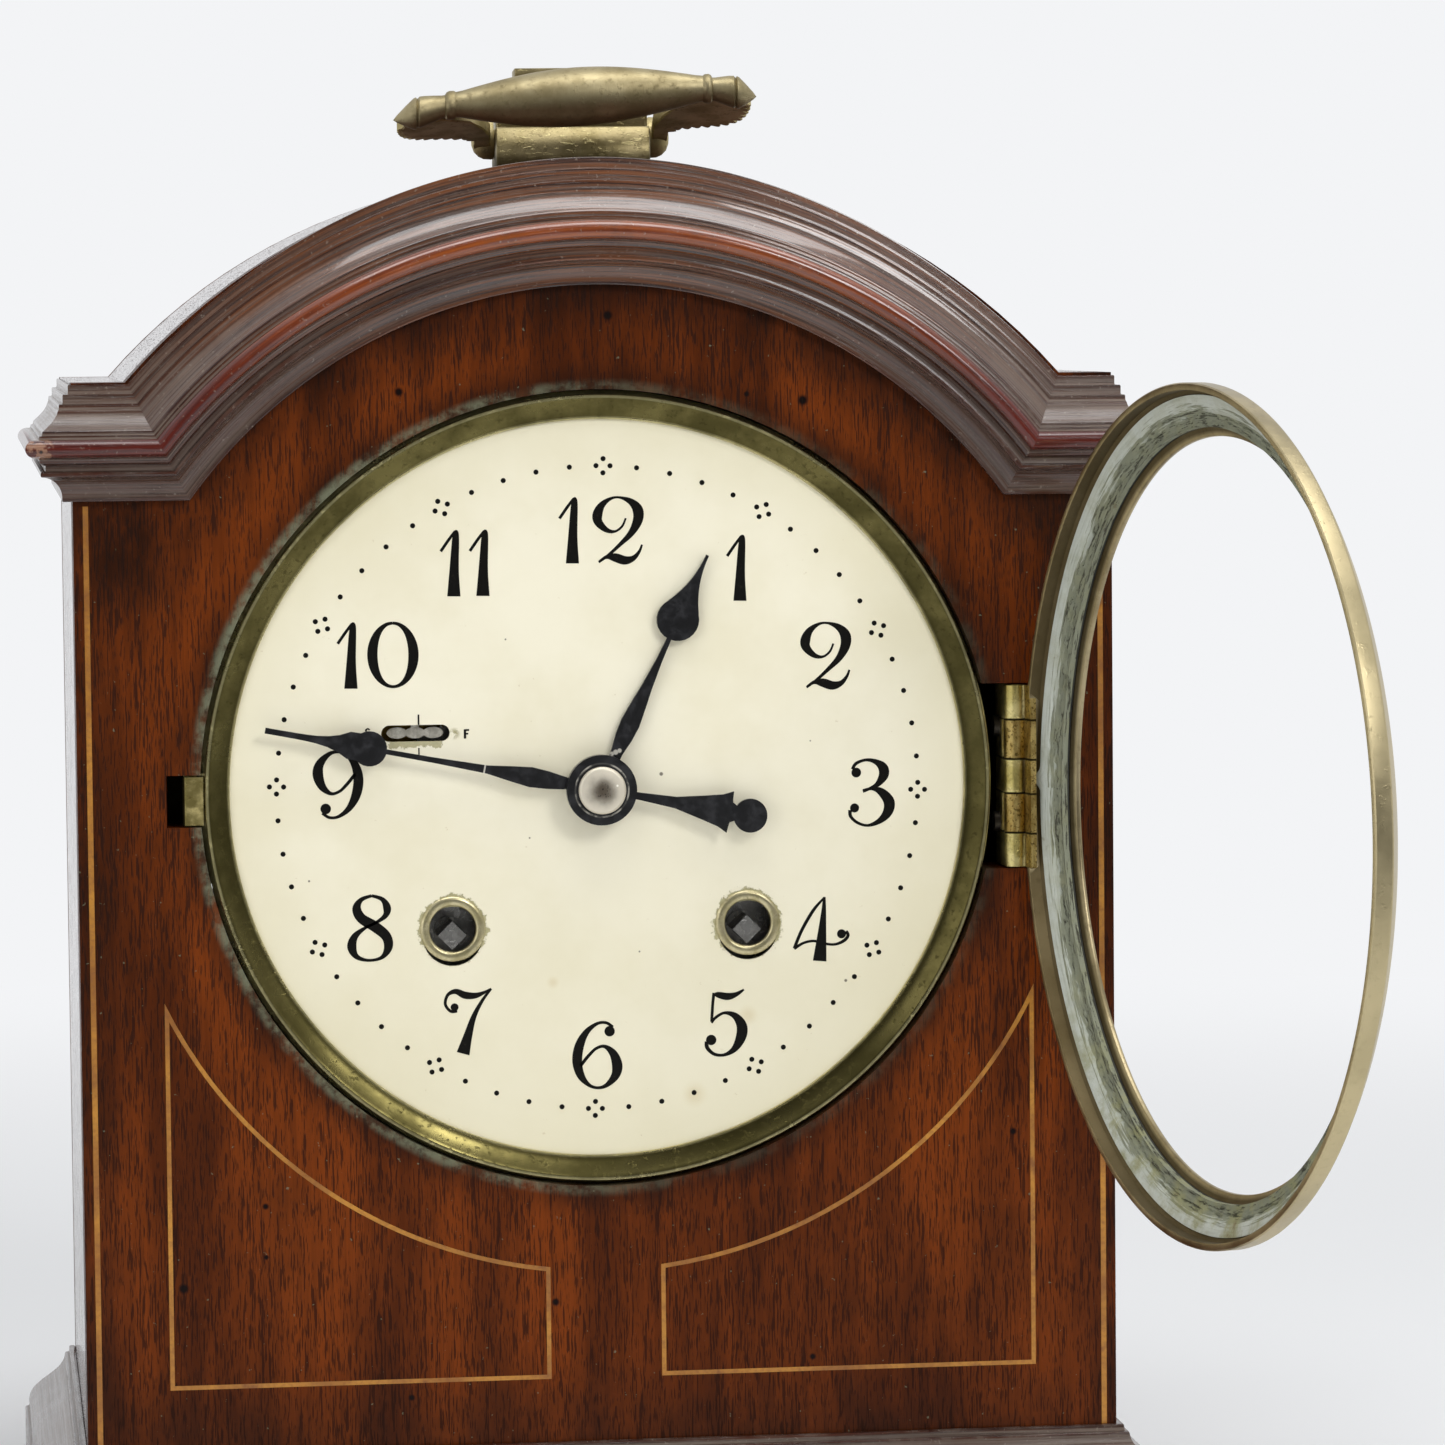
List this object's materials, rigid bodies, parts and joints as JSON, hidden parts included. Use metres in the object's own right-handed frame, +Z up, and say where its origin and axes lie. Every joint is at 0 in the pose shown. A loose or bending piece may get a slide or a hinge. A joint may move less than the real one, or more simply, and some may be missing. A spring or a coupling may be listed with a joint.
{
  "type": "bracket clock",
  "caption": "Break-arch wooden bracket clock with a round brass bezel standing open, a painted dial, pear hands, a folding carrying handle and a spring-driven striking movement.",
  "frame": {"origin": "centre of the case body at the rest face under the base board", "axes": "-Y out of the dial towards the viewer, +X to the viewer's right, +Z up"},
  "size_m": [0.2487, 0.3175, 0.315],
  "materials": {
    "mahogany": "worn french polish over red-brown mahogany",
    "dark_mahogany": "darkened polish, dusty in the hollows",
    "boxwood": "yellow boxwood lines, polished over",
    "aged_brass": "dull tarnished brass",
    "brass": "clean brushed brass",
    "steel": "plain steel",
    "blued_steel": "blued black steel",
    "dial_paint": "cream painted sheet iron",
    "putty": "cracked grey-white putty"
  },
  "bodies": {
    "case": {"base_board": "mahogany", "plinth_mouldings": "dark_mahogany", "front_panel": "mahogany", "side_panels": "mahogany", "back_frame": "mahogany", "case_top": "mahogany", "arch_moulding": "dark_mahogany", "cornice_mouldings": "dark_mahogany", "inlay_lines": "boxwood", "door_case_leaves": "aged_brass", "hinge_pins": "brass", "handle_block": "aged_brass", "dial_ring": "aged_brass", "dial": "dial_paint", "winding_eyelets": "brass", "catch_tongue": "brass", "hinge_case_leaf": "brass", "front_plate": "brass", "back_plate": "brass", "pillars": "brass", "movement_brackets": "steel", "screws": "steel", "clicks": "steel", "platform": "brass", "bell": "aged_brass", "bell_stand": "steel"},
    "bezel_door": {"bezel": "aged_brass", "glazing_putty": "putty", "hinge_bezel_leaf": "brass"},
    "rear_door": {"back_door": "mahogany", "door_leaves": "aged_brass", "door_knob": "aged_brass"},
    "bail": {"bail_handle": "aged_brass"},
    "minute": {"minute_hand": "blued_steel", "cannon_pinion": "steel", "hand_nut": "steel"},
    "hour": {"hour_hand": "blued_steel", "hour_wheel": "brass"},
    "motion": {"minute_wheel": "brass"},
    "going_drum": {"going_barrel": "brass", "going_mainspring": "steel"},
    "strike_drum": {"strike_barrel": "brass", "strike_mainspring": "steel"},
    "going_arbor": {"going_winding_arbor": "steel"},
    "strike_arbor": {"strike_winding_arbor": "steel"},
    "intermediate": {"intermediate_wheel": "brass"},
    "centre": {"centre_wheel": "brass"},
    "third": {"third_wheel": "brass"},
    "fourth": {"fourth_wheel": "brass"},
    "escape": {"escape_wheel": "brass"},
    "lever": {"pallet_lever": "steel"},
    "balance": {"balance_wheel": "brass", "hairspring": "steel"},
    "index": {"regulator": "steel"},
    "pin": {"pin_wheel": "brass"},
    "locking": {"locking_wheel": "brass"},
    "fan": {"fly": "brass"},
    "striker": {"hammer": "steel"},
    "rack_arm": {"rack": "steel"}
  },
  "joints": [
    {"name": "bezel_swing", "type": "hinge", "parent": "case", "child": "bezel_door", "pos_m": [0.0865, -0.068, 0.1662], "axis": [0, 0, 1], "range_deg": [-102.3, 0]},
    {"name": "back_door_swing", "type": "hinge", "parent": "case", "child": "rear_door", "pos_m": [0.0747, 0.0715, 0.119], "axis": [0, 0, -1], "range_deg": [0, 110]},
    {"name": "handle_swing", "type": "hinge", "parent": "case", "child": "bail", "pos_m": [0.002, 0, 0.30027], "axis": [-0.998, 0.0628, 0], "range_deg": [0, 153.4]},
    {"name": "hour_turn", "type": "hinge", "parent": "case", "child": "hour", "pos_m": [0, -0.0505, 0.165], "axis": [0, 1, 0], "continuous": true},
    {"name": "hands_set", "type": "hinge", "parent": "case", "child": "minute", "pos_m": [0, -0.0505, 0.165], "axis": [0, 1, 0], "continuous": true},
    {"name": "motion_turn", "type": "hinge", "parent": "case", "child": "motion", "pos_m": [0.01128, -0.0505, 0.1609], "axis": [0, 1, 0], "continuous": true},
    {"name": "going_barrel_turn", "type": "hinge", "parent": "case", "child": "going_drum", "pos_m": [0.0306, -0.0505, 0.135], "axis": [0, 1, 0], "continuous": true},
    {"name": "intermediate_turn", "type": "hinge", "parent": "case", "child": "intermediate", "pos_m": [0.01961, -0.0505, 0.16227], "axis": [0, 1, 0], "continuous": true},
    {"name": "centre_turn", "type": "hinge", "parent": "case", "child": "centre", "pos_m": [0, -0.0505, 0.165], "axis": [0, 1, 0], "continuous": true},
    {"name": "third_turn", "type": "hinge", "parent": "case", "child": "third", "pos_m": [-0.00845, -0.0505, 0.18089], "axis": [0, 1, 0], "continuous": true},
    {"name": "fourth_turn", "type": "hinge", "parent": "case", "child": "fourth", "pos_m": [-0.01418, -0.0505, 0.19508], "axis": [0, 1, 0], "continuous": true},
    {"name": "escape_turn", "type": "hinge", "parent": "case", "child": "escape", "pos_m": [-0.02778, -0.0505, 0.19872], "axis": [0, 1, 0], "continuous": true},
    {"name": "going_wind", "type": "hinge", "parent": "case", "child": "going_arbor", "pos_m": [0.0306, -0.0505, 0.135], "axis": [0, 1, 0], "continuous": true},
    {"name": "strike_wind", "type": "hinge", "parent": "case", "child": "strike_arbor", "pos_m": [-0.0306, -0.0505, 0.135], "axis": [0, 1, 0], "continuous": true},
    {"name": "lever_rock", "type": "hinge", "parent": "case", "child": "lever", "pos_m": [-0.03322, -0.0505, 0.19669], "axis": [0, 1, 0], "range_deg": [-5, 5]},
    {"name": "balance_swing", "type": "hinge", "parent": "case", "child": "balance", "pos_m": [-0.03775, -0.0505, 0.195], "axis": [0, 1, 0], "range_deg": [-150, 150]},
    {"name": "regulator_set", "type": "hinge", "parent": "case", "child": "index", "pos_m": [-0.03775, -0.0505, 0.195], "axis": [0, 1, 0], "range_deg": [-15, 15]},
    {"name": "strike_barrel_turn", "type": "hinge", "parent": "case", "child": "strike_drum", "pos_m": [-0.0306, -0.0505, 0.135], "axis": [0, 1, 0], "continuous": true},
    {"name": "pin_turn", "type": "hinge", "parent": "case", "child": "pin", "pos_m": [-0.0255, -0.0505, 0.16395], "axis": [0, 1, 0], "continuous": true},
    {"name": "locking_turn", "type": "hinge", "parent": "case", "child": "locking", "pos_m": [-0.03165, -0.0505, 0.18087], "axis": [0, 1, 0], "continuous": true},
    {"name": "fly_turn", "type": "hinge", "parent": "case", "child": "fan", "pos_m": [-0.03725, -0.0505, 0.19057], "axis": [0, 1, 0], "continuous": true},
    {"name": "hammer_lift", "type": "hinge", "parent": "case", "child": "striker", "pos_m": [-0.04152, -0.0505, 0.1732], "axis": [0, -1, 0], "range_deg": [0, 18]},
    {"name": "rack_fall", "type": "hinge", "parent": "case", "child": "rack_arm", "pos_m": [-0.017, -0.0505, 0.132], "axis": [0, -1, 0], "range_deg": [0, 8]}
  ],
  "couplings": [
    {"joint": "hands_set", "follows": "hour_turn", "ratio": 12},
    {"joint": "motion_turn", "follows": "hour_turn", "ratio": -4},
    {"joint": "intermediate_turn", "follows": "going_barrel_turn", "ratio": -6},
    {"joint": "centre_turn", "follows": "going_barrel_turn", "ratio": 30},
    {"joint": "third_turn", "follows": "going_barrel_turn", "ratio": -240},
    {"joint": "fourth_turn", "follows": "going_barrel_turn", "ratio": 1800},
    {"joint": "escape_turn", "follows": "going_barrel_turn", "ratio": -18000},
    {"joint": "pin_turn", "follows": "strike_barrel_turn", "ratio": -6},
    {"joint": "locking_turn", "follows": "strike_barrel_turn", "ratio": 48},
    {"joint": "fly_turn", "follows": "strike_barrel_turn", "ratio": -336}
  ]
}
